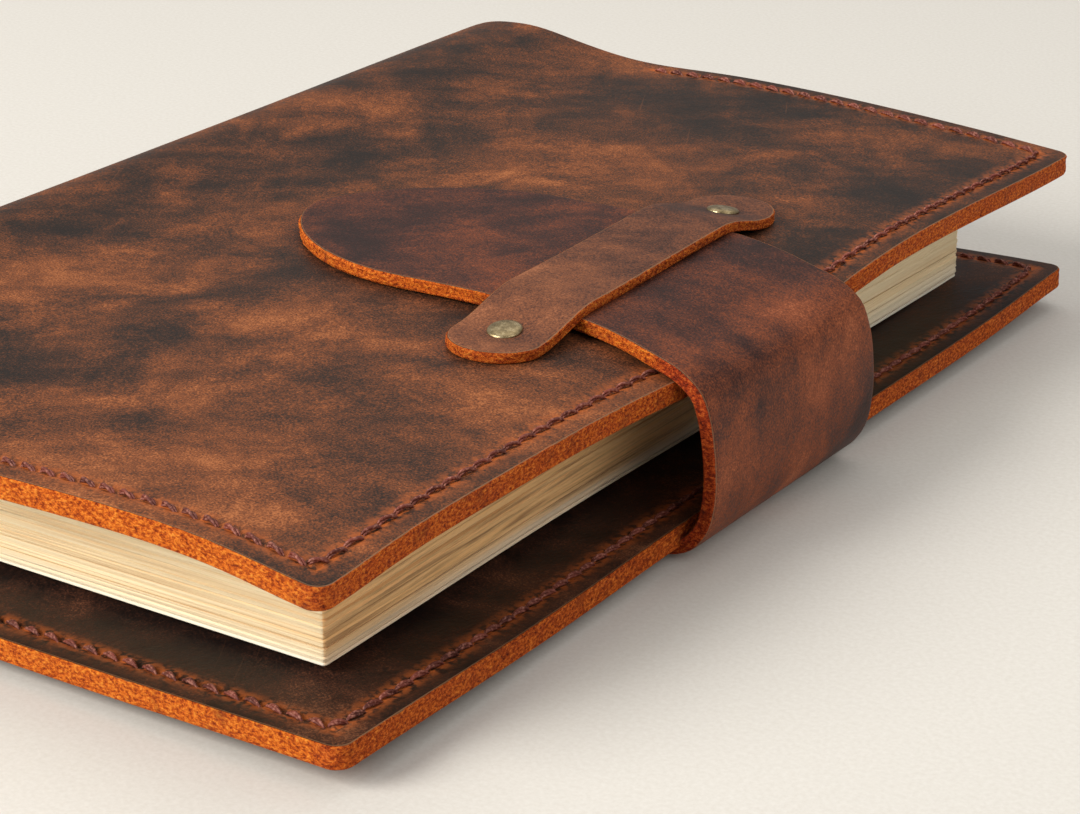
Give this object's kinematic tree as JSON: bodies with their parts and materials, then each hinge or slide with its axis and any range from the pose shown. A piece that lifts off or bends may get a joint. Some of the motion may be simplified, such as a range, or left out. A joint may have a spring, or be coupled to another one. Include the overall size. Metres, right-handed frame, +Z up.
{
  "type": "leather notebook cover",
  "caption": "Refillable leather notebook cover with sewn pockets round a paper notebook, closed by a broad tongue that wraps the fore edge under a riveted keeper.",
  "frame": {"origin": "middle of the bounding box, on the surface the closed cover lies on", "axes": "+X from the spine to the fore edge, +Y from foot to head, +Z up through the front cover"},
  "size_m": [0.1616, 0.242, 0.0416],
  "materials": {
    "cover_leather": "waxed pull-up leather, mottled dark brown rubbed through to orange-brown, matt with a soft sheen",
    "pocket_leather": "the same leather, darker and less rubbed",
    "tongue_leather": "waxed pull-up leather, plum-brown, raw orange edges",
    "keeper_leather": "waxed pull-up leather, reddish brown, raw orange edges",
    "waxed_thread": "waxed burgundy-brown thread, twisted",
    "antique_brass": "antique brass, darkened and scuffed",
    "board_card": "dark card board",
    "white_paper": "white endpaper",
    "paper": "cream uncoated paper, toned and streaked along the cut edges"
  },
  "bodies": {
    "back_cover": {"back_outer_leather": "cover_leather", "back_pocket_leather": "pocket_leather", "back_thread_outer": "waxed_thread", "back_thread_inner": "waxed_thread", "notebook_back_board": "board_card", "back_endpaper": "white_paper", "back_signature_1": "paper", "back_signature_2": "paper", "back_signature_3": "paper", "back_signature_4": "paper", "tongue_anchor": "tongue_leather", "tongue_anchor_thread": "waxed_thread"},
    "spine": {"spine_leather": "cover_leather"},
    "front_cover": {"front_outer_leather": "cover_leather", "front_pocket_leather": "pocket_leather", "front_thread_outer": "waxed_thread", "front_thread_inner": "waxed_thread", "notebook_front_board": "board_card", "keeper_strap": "keeper_leather", "rivet_cap_foot": "antique_brass", "rivet_post_foot": "antique_brass", "rivet_cap_head": "antique_brass", "rivet_post_head": "antique_brass"},
    "front_leaves": {"front_endpaper": "white_paper", "front_signature_1": "paper", "front_signature_2": "paper", "front_signature_3": "paper", "front_signature_4": "paper"},
    "tongue_lower": {"tongue_bend_1": "tongue_leather"},
    "tongue_side": {"tongue_bend_2": "tongue_leather"},
    "tongue_upper": {"tongue_bend_3": "tongue_leather"},
    "tongue_flap": {"tongue_flap": "tongue_leather"}
  },
  "joints": [
    {"name": "spine_fold", "type": "hinge", "parent": "back_cover", "child": "spine", "pos_m": [-0.07885, 0, 0.0049], "axis": [0, -1, 0], "range_deg": [0, 88]},
    {"name": "front_cover_fold", "type": "hinge", "parent": "spine", "child": "front_cover", "pos_m": [-0.07885, 0, 0.034], "axis": [0, -1, 0], "range_deg": [0, 88]},
    {"name": "front_leaves_turn", "type": "hinge", "parent": "back_cover", "child": "front_leaves", "pos_m": [-0.07385, 0, 0.01945], "axis": [0, -1, 0], "range_deg": [0, 176]},
    {"name": "tongue_unroll", "type": "hinge", "parent": "back_cover", "child": "tongue_lower", "pos_m": [0.07245, 0, 0], "axis": [0, 1, 0], "range_deg": [0, 45], "deforming": ["tongue_bend_1"]},
    {"name": "tongue_side_bend", "type": "hinge", "parent": "tongue_lower", "child": "tongue_side", "pos_m": [0.08085, 0, 0.0084], "axis": [0, 1, 0], "range_deg": [0, 45], "deforming": ["tongue_bend_2"]},
    {"name": "tongue_upper_bend", "type": "hinge", "parent": "tongue_side", "child": "tongue_upper", "pos_m": [0.08085, 0, 0.0305], "axis": [0, 1, 0], "range_deg": [0, 45], "deforming": ["tongue_bend_3"]},
    {"name": "tongue_flap_bend", "type": "hinge", "parent": "tongue_upper", "child": "tongue_flap", "pos_m": [0.07245, 0, 0.0389], "axis": [0, 1, 0], "range_deg": [0, 45], "deforming": ["tongue_flap"]}
  ],
  "couplings": [
    {"joint": "front_cover_fold", "follows": "spine_fold", "ratio": 1},
    {"joint": "front_leaves_turn", "follows": "spine_fold", "ratio": 2},
    {"joint": "tongue_side_bend", "follows": "tongue_unroll", "ratio": 1},
    {"joint": "tongue_upper_bend", "follows": "tongue_unroll", "ratio": 1},
    {"joint": "tongue_flap_bend", "follows": "tongue_unroll", "ratio": 1}
  ]
}
